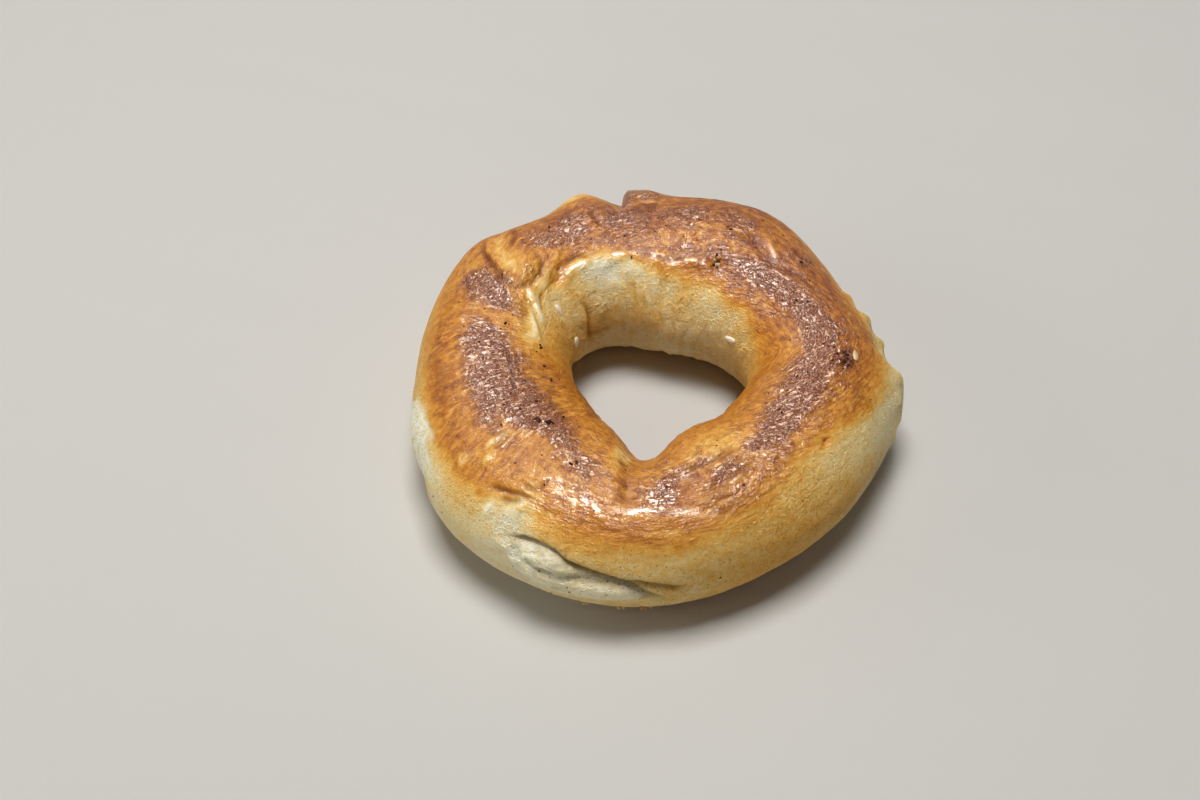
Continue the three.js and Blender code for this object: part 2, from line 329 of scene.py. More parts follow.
# How brown the outside, the top and the hole's wall are at 12 even ring angles: 0 is raw cream, 1 burnt.
OUTSIDE_BROWN = [0.20, 0.40, 0.54, 0.58, 0.52, 0.46, 0.35, 0.14, 0.11, 0.25, 0.36, 0.21]
TOP_BROWN = [0.57, 0.64, 0.68, 0.67, 0.64, 0.55, 0.57, 0.58, 0.56, 0.56, 0.56, 0.57]
HOLE_BROWN = [0.38, 0.23, 0.17, 0.17, 0.18, 0.29, 0.50, 0.64, 0.62, 0.54, 0.56, 0.54]

# Patches that browned more or less: ring angle, section angle, half lengths along and across, change, turn.
BROWNER_PATCHES = [
    # larger areas, and the ledges over the inner wall, paler partly as their own pale dough and partly as a
    # painted highlight
    (35, 72, 7, 5, 0.06, 10), (12, 75, 9, 4, 0.08), (74, 91, 6, 3, -0.12), (58, 96, 4, 2, -0.12),
    (88, 92, 14, 6, 0.07), (59.5, 91.5, 2.4, 0.8, 0.14), (84, 104, 8, 3, -0.12), (118, 66, 8, 4, 0.06),
    (94, 73, 2.3, 2, 0.34), (94, 73, 1.2, 1, -0.34), (147, 101, 4.6, 4.6, -0.1), (152, 118, 6, 5, -0.14),
    (169, 116, 6, 4, -0.17), (179, 117, 5, 3, -0.1), (112, 46, 7, 5.4, -0.4), (116, 66, 6, 2.2, 0.1),
    (114, 58, 8, 3, 0.04), (352, 77, 3.4, 2, 0.34, -20), (92, 56, 7, 4, -0.14), (229, 36, 4, 3, 0.1),
    (225, 30, 4, 3, 0.07), (250, 44, 9, 4.4, 0.1), (256, 30, 8, 4.4, 0.12), (318, 10, 11, 6, 0.1),
    (346, 18, 8, 6, -0.07), (126, 120, 6, 2.6, -0.24, 4), (108, 127, 7, 3, -0.2), (88, 119, 3, 1.6, -0.16),
    (71, 118, 2.6, 1.2, -0.14), (79, 122, 2.2, 1.4, -0.1),
    # toasted and paler streaks down the inner wall
    (139, 121, 3, 2, 0.1), (108, 124, 1.6, 3.6, 0.14, 10), (107, 146, 3.2, 5, 0.07),
    (92, 156, 2.2, 4.5, 0.09), (137, 134, 3, 3.4, 0.09), (72, 144, 3.4, 5, 0.08, -10),
    (97, 132, 2.4, 2, 0.06), (124, 168, 9, 2.6, 0.12), (116, 134, 2.6, 3.6, -0.07),
    (82, 138, 2.4, 3.6, -0.07),
    # shoulders, blisters and pits
    (170, 46, 10, 4, 0.06), (196, 52, 8, 3, 0.08), (216, 50.5, 1.6, 1.4, -0.24),
    (220.5, 61.5, 1, 1.4, -0.3), (218.5, 74, 1.2, 2.8, -0.34, -12), (228.5, 38, 0.8, 2, -0.24, -10),
    (224.5, 42, 0.8, 0.8, 0.2), (235, 50, 4, 4, -0.18), (219, 34, 5, 4.4, 0.16), (232, 42, 8, 4, -0.03),
    (235, 62, 4, 4, -0.1), (280, 87, 3.6, 1.8, 0.12), (272, 74, 6, 2.2, 0.06), (290, 106, 9, 5, -0.14),
    (300, 100, 6, 3, -0.04), (318, 72, 9, 3, 0.04, 10), (325, 62, 9, 4, -0.06),
    (322.5, 60, 1.2, 0.8, 0.26, 15), (350, 66, 6, 5, 0.08), (10, 68, 12, 4, 0.08), (255, 108, 2, 4, -0.2),
    (256, 122, 2.2, 3.6, -0.24), (281.5, 10, 1.2, 1, 0.14),
]

# Where the wash dried to a finely wrinkled, purplish satin film: the same terms, with an amount, and below 0
# where it didn't.
SATIN_PATCHES = [
    (4, 94, 7, 4, 1), (14, 97, 8, 4.4, 1), (27, 100, 7, 3.2, 1), (37, 103, 5, 2.6, 0.9),
    (35, 64, 2, 2.6, 0.5), (61.5, 75.5, 6, 3.2, 1.1), (77, 78, 5, 2.4, 0.8), (56, 104, 6, 2.4, 0.5),
    (91, 82, 8, 4.2, 0.6), (93, 58, 7, 4.4, 1), (105, 84, 5, 4, 0.6), (125, 85, 8, 4.4, 1),
    (156, 68, 3.6, 4.4, 1, 20), (160, 84, 5.5, 5.4, 1.1), (163, 97, 3, 2.8, 0.8), (178, 84, 6, 4.4, 1.1),
    (192, 88, 9, 5, 1.2), (205, 97, 9, 5.6, 1.2), (219, 105, 9, 3.8, 1.1), (229, 101, 5, 3, 0.7),
    (245, 93, 6, 3.4, 0.9), (269, 86, 6, 6, 0.8), (281, 90, 6, 4, 0.6), (291, 84, 6, 3.2, 0.7),
    (297, 78, 7, 2.8, 0.5), (311, 88, 6, 3.2, 0.9), (322, 94, 8, 4, 1), (336, 97, 10, 5.6, 1),
    (350, 95, 9, 6.4, 1), (171, 97, 2.4, 2.4, -1.4), (94, 73, 2.6, 2.4, -1.6), (280, 87, 3.4, 1.6, -1.2),
]

# Bare pale dough that tore or stretched open: the same terms, with an amount.
TORN_PATCHES = [
    (243, 20, 7, 4.6, 1.4),
    (254, 4, 15, 4, 1.4),
    (199, 8, 13, 9.5, 1.3),
    (359, 16, 3.6, 2.8, 1, 20),
    (353, 8, 4.4, 2.6, 0.95, -15),
    (4, 20, 2.4, 1.6, 0.8, 30),
]

# Where light breaks up on hard little pebbles: the same terms, with an amount.
PEBBLED_PATCHES = [
    (43, 128, 5, 2.2, 0.9), (25, 126, 5, 2.2, 0.9), (110, 56, 7, 3.6, 0.6), (134, 120, 6, 1.8, 0.9),
    (112, 120, 6, 1.6, 0.6), (88, 119, 14, 2, 0.6), (54, 124, 5, 3, 0.8), (157, 118, 2.4, 5, 0.8),
    (188, 78, 9, 2.4, 0.9), (159, 71, 3.6, 2.4, 0.8), (248, 68, 6.5, 3.2, 1), (300, 66, 13, 5.5, 1.2),
    (240, 52, 10, 5, 0.5), (62, 96, 14, 6, 0.25), (104, 96, 12, 6, 0.25), (173, 68, 3, 2.2, 0.7),
    (198, 81, 6, 2, 0.8), (352, 84, 5, 4, 0.7), (36, 64, 4, 4, 0.6),
]

# Edges where the wash gathered and dried clear, with a paler colour as a painted highlight: half widths on
# the left and right, and the route.
GLOSSY_EDGES = [
    (1.2, 1.2, (232, 42), (234.5, 47), (236, 52), (236.5, 57)),
    (0.8, 0.8, (217, 68), (218.5, 74), (219.5, 80)),
    (0.7, 0.7, (219.5, 60), (221, 61.5), (222, 63)),
    (0.9, 0.9, (214.5, 50), (216, 51), (217.5, 51)),
    (0.6, 0.6, (227, 36), (228.5, 39), (229.5, 42)),
    (0.9, 0.8, (256, 66), (259.5, 68), (264.5, 69.5), (270, 69.5), (277, 65), (284, 58), (288, 54)),
    (0.7, 0.6, (142, 122), (134.5, 120), (128.5, 118.5), (121, 119)),
    (0.7, 0.7, (152, 108), (154, 111), (155.5, 115)),
    (0.7, 0.6, (157, 119.5), (159.5, 125), (163, 129)),
    (0.6, 0.5, (162, 117.5), (165, 120.5), (168, 122)),
    (0.7, 0.6, (236.5, 75), (238.5, 74), (240, 70.5)),  # strokes on the front left shoulder
    (0.6, 0.6, (239.5, 77), (241.5, 75), (243, 72)),
    (0.5, 0.6, (240.5, 71), (242.5, 68.5), (244, 67)),
    (0.6, 0.6, (243.5, 75.5), (245.5, 73), (246.5, 70)),
    (0.6, 0.5, (245.5, 69), (247.5, 66.5), (248.5, 63.5)),
    (0.7, 0.5, (247.5, 73), (249.5, 70), (251, 67)),
    (0.6, 0.5, (250, 66), (252, 63), (253, 60)),
    (0.5, 0.5, (251.5, 70), (253.5, 67), (254.5, 64)),
    (0.6, 0.5, (254, 64), (256, 61), (257.5, 58)),
    (0.5, 0.6, (160, 68), (161, 70), (161.5, 73)),  # the left arm's shoulder
    (0.5, 0.6, (171, 64), (172, 67), (172, 70)),
    (0.5, 0.5, (174, 67), (175.5, 70), (176, 73)),
    (0.5, 0.6, (178, 69), (179, 72), (179.5, 75)),
    (0.5, 0.5, (182, 72), (183.5, 75), (184, 77)),
    (0.5, 0.5, (187, 75), (188.5, 78), (189, 80)),
    (0.5, 0.5, (197, 79), (198.5, 82), (199, 84)),
    (0.6, 0.5, (294, 62), (296.5, 66), (298, 71)),  # strokes on the front right shoulder
    (0.5, 0.5, (300, 60), (302.5, 63), (304, 68)),
    (0.6, 0.4, (290, 76), (292.5, 73), (296, 71)),
    (0.5, 0.5, (307, 66), (309, 69), (310, 73)),
    (0.7, 0.5, (104, 117), (108, 116.5), (112, 118)),  # lumps over the inner wall
    (0.6, 0.5, (95, 116), (98, 116.5), (101, 115)),
    (0.7, 0.6, (84, 117), (88, 117.5), (92, 116.5)),
    (0.6, 0.5, (76, 121), (79, 120.5), (82, 122)),
    (0.6, 0.5, (67, 116.5), (71, 116.5), (75, 118)),
    (0.5, 0.5, (60, 117), (63, 116.5), (66, 118)),
    (0.6, 0.5, (56, 121), (53, 124), (51, 128)),
    (0.8, 0.8, (50, 73), (48.5, 76), (45, 80.5), (42, 84.5), (40, 87)),
]


# Random patterns in the skin: size along the ring and round the rope in mm, seed, and for some the layers.
RAGGED_FILM = (8, 5, 11, 4)
BROKEN_GLOSS = (3.4, 2.6, 15)
RAGGED_TEAR = (6, 4, 21, 4)
WASH_WOBBLE = (16, 11, 31)
LONG_RIPPLES = (5.0, 1.3, 41)
SHORT_RIPPLES = (2.8, 1.0, 44)
CURLS = (3.2, 2.2, 43)
PEBBLES = (1.8, 1.5, 51)
PEBBLE_ROWS = (2.6, 1.2, 52)
MOTTLE = (3.6, 3.5, 61)
LUMPS = (12, 9, 71)
VEINS = (14, 6, 81)
CLEFTS = (8, 4, 91, 2)
TORN_LUMPS = (4.5, 3.2, 95, 2)
STRETCH_MARKS = (3.5, 16, 101, 2)
BARE_CRUMPLE = (5.5, 5, 111, 2)

# Heights in mm that they give the skin. Of several, the first is everywhere. The crumple of bare dough adds
# the other in the hole, and ripples and pebbles add one on the wash and one where it is satin or pebbled.
LUMP_HEIGHT = 0.30
MOTTLE_HEIGHT = 0.14
CURL_HEIGHT = 0.06
CRUMPLE_HEIGHTS = (0.14, 0.34)
RIPPLE_HEIGHTS = (0.01, 0.03, 0.10)
PEBBLE_HEIGHTS = (0.01, 0.02, 0.16)
VEIN_DEPTH = 0.10
TORN_LUMP_HEIGHT = 0.35
TORN_PEBBLE_HEIGHT = 0.12
CLEFT_DEPTH = 0.5

# How much more or less brown they make the skin; the ripples make it browner in their valleys and paler on
# their tops.
UNDERSIDE_BROWN = 0.18
LUMP_BROWN = 0.06
MOTTLE_BROWN = 0.08
RIPPLE_BROWN = -0.05
VEIN_BROWN = 0.07
# Paler along the clear edges: a painted highlight.
CLEAR_HIGHLIGHT_BROWN = -0.06
STRETCH_BROWN = 0.06

FRONT_TEAR = 255  # ring angle of its middle
FRONT_TEAR_REACH = 22


def slipped(ring, section):
    return section + np.interp(ring % 360, SLIP_AT, SLIP)


def crossed(ring):
    """1 where wrinkles run across the ring, and 0 where they run along it."""
    return ease(ring % 360, *CROSSED_FROM) * (1 - ease(ring % 360, *CROSSED_TO))


def wrinkles(ring, section, length, width, seed):
    along = waves(ring, slipped(ring, section), length, width, seed)
    across = waves(ring, section, width, length, seed + 1)
    return along + (across - along) * crossed(ring)


def skin_marks(ring, section):
    """The random patterns in the skin, about -1 to 1, and its dark veins, from 0 to 1."""
    curls = waves(ring, section, *CURLS)
    mottle = crumple(ring, section + 5 * curls, *MOTTLE)
    off_vein = crumple(ring, slipped(ring, section), *VEINS)
    return {
        "curls": curls,
        "mottle": mottle,
        "lumps": crumple(ring, section, *LUMPS),
        "ripples": wrinkles(ring, section, *LONG_RIPPLES) + 0.8 * wrinkles(ring, section, *SHORT_RIPPLES),
        "pebbles": waves(ring, section, *PEBBLES) + 0.6 * wrinkles(ring, section, *PEBBLE_ROWS),
        "stretched": crumple(ring, section, *STRETCH_MARKS),
        "veins": np.exp(-((off_vein / 0.04) ** 2)) * ease(mottle, -0.1, 0.3),
    }


def washed_share(ring, section):
    """1 on the egg-washed top and 0 on the bare sides, with a wavering edge between."""
    wobble = 9 * crumple(ring, section, *WASH_WOBBLE)
    outer_edge = around(WASHED_FROM, ring) + wobble
    inner_edge = around(WASHED_TO, ring) + wobble
    climb = (section + 90) % 360 - 90
    begun = ease(climb, outer_edge - 14, outer_edge + 12)
    return begun * (1 - ease(climb, inner_edge - 12, inner_edge + 10))


def clear_share(ring, section):
    """1 along the glossy edges, which are broken into strokes, and 0 away from them."""
    clear = np.zeros(np.shape(ring))
    for left_width, right_width, *route in GLOSSY_EDGES:
        clear = np.maximum(clear, fold(ring, section, left_width, right_width, route))
    return clear * ease(waves(ring, section, *BROKEN_GLOSS), -0.6, 0.1)


def tear_open(ring, section):
    """How far the dough tore open, how near the front tear is, and its lip's sag in section degrees."""
    past_lip, lip_share = distance_to(TORN_LIP, ring, section)
    front = np.exp(-((turn_to(FRONT_TEAR, ring) / FRONT_TEAR_REACH) ** 2))
    torn = all_swells(ring, section, TORN_PATCHES) + 0.5 * crumple(ring, section, *RAGGED_TEAR)
    torn = ease(torn, 0.50, 0.80) * np.where(front > 0.4, ease(-past_lip, -0.4, 0.3), 1)
    hang = np.exp(-(((past_lip - LIP_EDGE) / np.where(past_lip > LIP_EDGE, *LIP_WIDTHS)) ** 2))
    hang = hang * ease(4 * np.minimum(lip_share, 1 - lip_share), 0, 1)
    hang = hang * (1 - 0.75 * ease(lip_share, 0.4, 0.6))
    return torn, front, LIP_SAG * hang / np.radians(ROPE_RADIUS)


def baked_brown_with_highlight(ring, section, washed, clear, marks):
    """How brown the skin baked, apart from its folds, and paler along the clear edges as a painted
    highlight.
    """
    outward = np.cos(np.radians(section))
    side = np.where(outward > 0, around(OUTSIDE_BROWN, ring), around(HOLE_BROWN, ring))
    under = ease(np.abs(turn_to(270, section)), 72, 25)
    brown = side + (around(TOP_BROWN, ring) - side) * washed
    brown = brown + all_swells(ring, section, BROWNER_PATCHES) + UNDERSIDE_BROWN * under
    blotches = LUMP_BROWN * marks["lumps"] + MOTTLE_BROWN * marks["mottle"]
    brown = brown + blotches * np.where(outward > 0, 1, 0.5 + 0.5 * washed)
    brown = brown + RIPPLE_BROWN * marks["ripples"] * (0.1 + washed)
    # The clear edges are paler: a painted highlight.
    brown = brown + VEIN_BROWN * marks["veins"] * washed + CLEAR_HIGHLIGHT_BROWN * clear
    return brown + STRETCH_BROWN * marks["stretched"] * (1 - washed) * ease(-outward, 0.3, 0.8)


def relief(ring, section, washed, clear, torn, film, pebbled, marks):
    """The skin's fine relief in mm, apart from its folds and the lumps in the front tear."""
    inside = ease(-np.cos(np.radians(section)), 0, 0.5)
    satin = ease(film, 0.36, 0.66)
    blotches = MOTTLE_HEIGHT * marks["mottle"] + CURL_HEIGHT * marks["curls"]
    height = LUMP_HEIGHT * marks["lumps"] * (1 - 0.5 * clear)
    height = height + blotches * np.maximum(washed, 0.9 * inside) * (1 - 0.8 * clear)
    anywhere, in_hole = CRUMPLE_HEIGHTS
    bare = crumple(ring, section, *BARE_CRUMPLE) * (1 - washed) * (1 - torn)
    height = height + (anywhere + in_hole * inside) * bare
    anywhere, on_wash, on_film = RIPPLE_HEIGHTS
    ripples = marks["ripples"] * (1 - torn) * (1 - 0.7 * clear)
    height = height + (anywhere + on_wash * washed + on_film * satin) * ripples
    anywhere, on_wash, on_pebbles = PEBBLE_HEIGHTS
    pebbles = marks["pebbles"] * (1 - torn) * (1 - clear)
    height = height + (anywhere + on_wash * washed + on_pebbles * pebbled) * pebbles
    return height - VEIN_DEPTH * marks["veins"] * washed


def baked_skin(ring, section):
    """What the skin carries at these angles: its rise in mm, its sag in section degrees, how thick its dried
    film is, how brown, torn, washed, clear and shiny it is, and how much painted shade lies in its hollows."""
    marks = skin_marks(ring, section)
    washed = washed_share(ring, section)
    clear = clear_share(ring, section)
    torn, front, sag = tear_open(ring, section)
    film = 0.9 * all_swells(ring, section, SATIN_PATCHES) + 0.9 * crumple(ring, section, *RAGGED_FILM)
    pebbled = np.clip(all_swells(ring, section, PEBBLED_PATCHES), 0, 1)
    brown = baked_brown_with_highlight(ring, section, washed, clear, marks)

    rise = all_swells(ring, section, SWELLS + BLISTERS) + lapped_end(ring, section)
    rise = rise + relief(ring, section, washed, clear, torn, film, pebbled, marks)
    hollow_shade = np.zeros(np.shape(ring))
    # Each fold sinks and browns, and gets painted shade along its groove.
    for left_width, right_width, depth, darker, painted_shade, *route in FOLDS:
        groove = fold(ring, section, left_width, right_width, route)
        rise = rise - depth * groove
        brown = brown + darker * groove
        hollow_shade = np.maximum(hollow_shade, painted_shade * groove)

    lumpy = torn * front * (1 - 0.9 * ease(turn_to(247, ring), 0, 6))
    torn_lumps = TORN_LUMP_HEIGHT * crumple(ring, section, *TORN_LUMPS)
    torn_lumps = torn_lumps + TORN_PEBBLE_HEIGHT * marks["pebbles"]
    clefts = np.exp(-((crumple(ring, section, *CLEFTS) / 0.07) ** 2)) * lumpy
    rise = rise + lumpy * torn_lumps - CLEFT_DEPTH * clefts
    # The clefts in the torn crumb get painted shade too.
    hollow_shade = np.maximum(hollow_shade, 0.5 * clefts)

    washed = washed * (1 - torn)
    thick = np.maximum(ease(film, 0.2, 0.8), 0.8 * pebbled)
    shine = np.maximum(washed, 0.8 * pebbled) * (0.3 + 0.7 * thick)
    return {
        "rise": rise,
        "sag": sag,
        "brown": brown,
        "film": film * washed - 0.4 * (1 - washed),
        "torn": torn * (1 - 0.35 * front),
        "hollow_shade": hollow_shade,
        "washed": washed,
        "clear": clear,
        "shine": np.maximum(shine, clear) * (1 - torn) * (1 - hollow_shade),
    }


def skin_points(ring, section, baked):
    return dough_points(ring, section - baked["sag"], baked["rise"])


def even_steps(steps):
    return np.arange(steps) * (360 / steps)


def crowded_steps(steps, finest, crowding):
    even = even_steps(steps)
    return even - crowding * 180 / math.pi * np.sin(np.radians(even - finest))


def mesh_object(name, points, faces, attributes=None):
    mesh = bpy.data.meshes.new(name)
    mesh.from_pydata(points.tolist(), [], faces.tolist())
    for key, values in (attributes or {}).items():
        kind, field = ("FLOAT_VECTOR", "vector") if np.ndim(values) == 2 else ("FLOAT", "value")
        layer = mesh.attributes.new(key, kind, "POINT")
        layer.data.foreach_set(field, np.asarray(values, np.float32).ravel())
    mesh.polygons.foreach_set("use_smooth", np.ones(len(mesh.polygons), bool))
    mesh.update()
    piece = bpy.data.objects.new(name, mesh)
    bpy.context.scene.collection.objects.link(piece)
    return piece


LOOKS = ("brown", "film", "torn", "hollow_shade", "washed", "clear", "shine")  # what the skin tells its finish
GRAIN_STRETCH = 3  # how much longer than wide the crust's fine streaks are


def make_skin():
    sections = crowded_steps(SECTION_STEPS, FINEST_SECTION_ANGLE, SECTION_CROWDING)
    ring, section = np.meshgrid(even_steps(RING_STEPS), sections, indexing="ij")
    baked = baked_skin(ring, section)
    points = skin_points(ring, section, baked).reshape(-1, 3) * MM
    looks = {key: baked[key].ravel() for key in LOOKS}
    looks["crossed"] = crossed(ring).ravel()
    i, j = np.meshgrid(np.arange(RING_STEPS), np.arange(SECTION_STEPS), indexing="ij")
    corners = [(i, j), (i + 1, j), (i + 1, j + 1), (i, j + 1)]
    faces = np.stack([(a % RING_STEPS) * SECTION_STEPS + b % SECTION_STEPS for a, b in corners], axis=-1)

    # Streaks are noise on circles wound from both angles, so that they close up. One set is stretched along
    # the slipped wrinkles and the other across the ring.
    round_ring = np.radians(ring)
    for name, ring_reach, rope_reach, turn in (
        ("along", CREST_RADIUS / GRAIN_STRETCH, ROPE_RADIUS, np.radians(slipped(ring, section))),
        ("across", CREST_RADIUS, ROPE_RADIUS / GRAIN_STRETCH, np.radians(section)),
    ):
        wound = [ring_reach * np.cos(round_ring), ring_reach * np.sin(round_ring), rope_reach * np.cos(turn)]
        looks[name] = MM * np.stack(wound, axis=-1).reshape(-1, 3)
        looks[name + "_turn"] = MM * rope_reach * np.sin(turn).ravel()
    skin = mesh_object("bagel_crust", points, faces.reshape(-1, 4), looks)
    flat = skin.data.uv_layers.new(name="OFBake")
    spread = [np.stack([a / RING_STEPS, b / SECTION_STEPS], axis=-1) for a, b in corners]
    flat.data.foreach_set("uv", np.stack(spread, axis=2).ravel())
    return skin


# ---------------- what stuck to the skin

# Stray sesame seeds: ring angle, section angle, turn of the long side, lean on edge, and how toasted.
SEED_LENGTH = 3.0
SEED_WIDTH = 1.8
SEED_THICKNESS = 1.1
SEED_TAPER = 0.35
SEEDS = [
    (28, 162, 12, 0, 0),
    (149.5, 171, 80, 0, 0),
    (150, 137.5, 75, 70, 0.15),
    (354, 69.5, 10, 0, 0.9),
]


def skin_places(ring_at, section_at, step=0.6):
    """Points of the skin in mm, and the directions along the ring, round the rope and outward there."""
    ring_at, section_at = np.asarray(ring_at, float), np.asarray(section_at, float)
    ring = np.stack([ring_at, ring_at + step, ring_at])
    section = np.stack([section_at, section_at, section_at + step])
    here, ahead, round_rope = skin_points(ring, section, baked_skin(ring, section))
    along = (ahead - here) / np.linalg.norm(ahead - here, axis=-1, keepdims=True)
    outward = np.cross(along, round_rope - here)
    outward /= np.linalg.norm(outward, axis=-1, keepdims=True)
    return zip(here, np.stack([along, np.cross(outward, along), outward], axis=1))


def round_net(sides, rows):
    """Points and faces of a unit ball, with its poles on X."""
    turn, fall = np.meshgrid(np.arange(sides) * 2 * math.pi / sides, np.arange(1, rows) * math.pi / rows)
    ball = np.stack([np.cos(fall), np.sin(fall) * np.cos(turn), np.sin(fall) * np.sin(turn)], axis=-1)
    ball = ball.reshape(-1, 3)
    points = np.concatenate([ball, [(1, 0, 0), (-1, 0, 0)]])
    top, bottom = len(ball), len(ball) + 1
    faces = []
    for side in range(sides):
        following = (side + 1) % sides
        last = (rows - 2) * sides
        faces.append((top, side, following))
        faces.append((bottom, last + following, last + side))
        for row in range(rows - 2):
            a, b = row * sides + side, row * sides + following
            faces.append((a, a + sides, b + sides))
            faces.append((a, b + sides, b))
    return points, np.array(faces)


def scattered(name, shapes, faces, attributes):
    """One piece made of many copies of a net, each with its own points."""
    count = len(shapes[0])
    all_faces = np.concatenate([faces + count * k for k in range(len(shapes))])
    spread = {key: np.repeat(values, count) for key, values in attributes.items()}
    return mesh_object(name, np.concatenate(shapes) * MM, all_faces, spread)


def turned(points, angle):
    """Points turned flat on the skin by an angle in radians."""
    cos, sin = math.cos(angle), math.sin(angle)
    return points @ np.array([[cos, sin, 0], [-sin, cos, 0], [0, 0, 1]])


def make_seeds():
    ball, faces = round_net(14, 10)
    narrowing = (1 - SEED_TAPER * (0.5 + 0.5 * ball[:, :1])) * 0.5
    half_length = np.full_like(narrowing, SEED_LENGTH / 2)
    seed = ball * np.concatenate([half_length, narrowing * SEED_WIDTH, narrowing * SEED_THICKNESS], axis=1)
    ring_at, section_at, turns, leans, toasts = zip(*SEEDS)
    shapes = []
    for turn, lean, (here, directions) in zip(turns, leans, skin_places(ring_at, section_at)):
        cos, sin = math.cos(math.radians(lean)), math.sin(math.radians(lean))
        leaned = seed @ np.array([[1, 0, 0], [0, cos, sin], [0, -sin, cos]])
        shapes.append(here + turned(leaned, math.radians(turn)) @ directions)
    return scattered("sesame_seeds", shapes, faces, {"toast": toasts})


# Charred flecks: ring angle, section angle and half width in mm.
CHARRED_FLECKS = [
    (220.5, 101, 0.85), (219.3, 100, 0.5), (223.5, 105.5, 0.75), (224.4, 107.5, 0.45), (213, 96.5, 0.4),
    (212.5, 108, 0.4), (224.5, 117, 0.45), (192, 126, 0.45), (201, 127, 0.55), (180, 127, 0.5),
    (178.5, 126.5, 0.35), (152, 86.5, 0.4), (153, 88, 0.3), (172.5, 100, 0.4), (128, 80, 0.35),
    (126.5, 76, 0.3), (62.5, 84.5, 0.35), (61, 86, 0.45), (89.5, 98, 0.3), (102.8, 102, 0.35),
    (101.8, 119.5, 0.35), (17, 93, 0.4), (19, 100, 0.45), (18, 103, 0.3), (309, 86, 0.3), (321.5, 98, 0.3),
    (322.3, 101, 0.3), (323, 113.5, 0.3), (340.5, 107.5, 0.4), (34, 60, 0.35), (35, 63, 0.4),
    (34.5, 70, 0.4), (36, 66, 0.3), (349.5, 74, 0.45), (350.5, 77, 0.4), (351.5, 73, 0.45),
    (352.5, 79, 0.4), (351, 81, 0.35), (354, 80, 0.35), (353, 84, 0.4), (353.5, 76, 0.5), (352, 76, 0.45),
    (350, 79, 0.4), (354.5, 78, 0.45), (351, 78.5, 0.4), (355.5, 87, 0.4), (356, 91, 0.35), (350, 87, 0.3),
    (357, 95, 0.3), (58, 113, 0.6), (59.3, 116, 0.55), (57.2, 117, 0.5), (60, 109, 0.4), (241, 90, 0.5),
    (242.3, 93, 0.45), (237.5, 70, 0.35), (286, 108, 0.35), (289, 111, 0.3), (292.5, 105, 0.25),
    (294, 109, 0.25), (283.5, 6, 0.3), (250.5, 6, 0.2), (258.5, 12, 0.22), (261, 10, 0.2), (238, 5, 0.2),
    (214, 11, 0.22), (217.5, 6, 0.2), (343, 48, 0.22), (276, 100, 0.3), (271, 96, 0.25), (119, 9, 0.4),
    (118, 2, 0.3), (69, 8, 0.3),
]
LOOSE_FLECK_TRIES = 260  # of which only those on dark crust stay
LOOSE_FLECK_SECTIONS = (55, 135)
LOOSE_FLECK_SIZES = (0.14, 0.30)


def make_charred_flecks(draw):
    """Flat flakes of burnt flour and wash, pressed a little into the skin."""
    low, high = zip((0, 360), LOOSE_FLECK_SECTIONS, LOOSE_FLECK_SIZES)
    tries = draw.uniform(low, high, (LOOSE_FLECK_TRIES, 3))
    baked = baked_skin(tries[:, 0], tries[:, 1])
    kept = baked["brown"] + 0.3 * baked["film"] > draw.uniform(0.4, 1.0, len(tries))
    places = np.concatenate([np.array(CHARRED_FLECKS), tries[kept]])
    ball, faces = round_net(7, 4)
    shapes = []
    for half_width, (here, directions) in zip(places[:, 2], skin_places(places[:, 0], places[:, 1])):
        ragged = ball * draw.uniform(0.7, 1.2, (len(ball), 1))
        longer = draw.uniform(0.8, 1.4)
        flake = ragged[:, [1, 2, 0]] * (half_width * longer, half_width / longer, 0.35 * half_width)
        shapes.append(here + turned(flake, draw.uniform(0, 2 * math.pi)) @ directions)
    return scattered("charred_flecks", shapes, faces, {"toast": draw.uniform(0, 1, len(places))})


# Crumbs that hang on the lower front edge and in the pit at the back: ring angle, section angle, half width.
CRUMBS = [
    (252, -24, 0.45), (253.2, -28, 0.55), (254, -25, 0.4), (261, -27, 0.5), (262, -30, 0.35),
    (266, -28, 0.55), (267, -31, 0.45), (268.3, -28, 0.35), (246, -20, 0.35), (58.6, 110.5, 0.6),
    (60, 112.5, 0.5), (57.5, 114.5, 0.5), (59.5, 107, 0.4), (244, 12, 0.3), (251, 1, 0.3),
]


def make_crumbs(draw):
    ball, faces = round_net(8, 6)
    ring_at, section_at, half_widths = zip(*CRUMBS)
    shapes = []
    for half_width, (here, directions) in zip(half_widths, skin_places(ring_at, section_at)):
        ragged = ball * draw.uniform(0.65, 1.2, (len(ball), 1)) * draw.uniform(0.7, 1.1, 3) * half_width
        shapes.append(here + 0.3 * half_width * directions[2] + ragged @ directions)
    return scattered("bread_crumbs", shapes, faces, {"toast": draw.uniform(0.2, 1, len(CRUMBS))})


# ---------------- finishes


def linear(hex_colour):
    """An sRGB hex colour as linear RGBA."""
    parts = [int(hex_colour[k : k + 2], 16) / 255 for k in (1, 3, 5)]
    return [c / 12.92 if c <= 0.04045 else ((c + 0.055) / 1.055) ** 2.4 for c in parts] + [1.0]


def new_material(name):
    material = bpy.data.materials.new(name)
    material.use_nodes = True
    tree = material.node_tree
    tree.nodes.clear()
    return material, tree


def add(tree, kind, settings):
    """Adds a shader node. Each setting goes on it or on its socket of that name or number, and another
    node's output is linked to the socket."""
    node = tree.nodes.new("ShaderNode" + kind)
    for key, value in settings.items():
        if isinstance(value, bpy.types.NodeSocket):
            tree.links.new(value, node.inputs[key])
        elif isinstance(key, int) or key in node.inputs:
            node.inputs[key].default_value = value
        else:
            setattr(node, key, value)
    return node


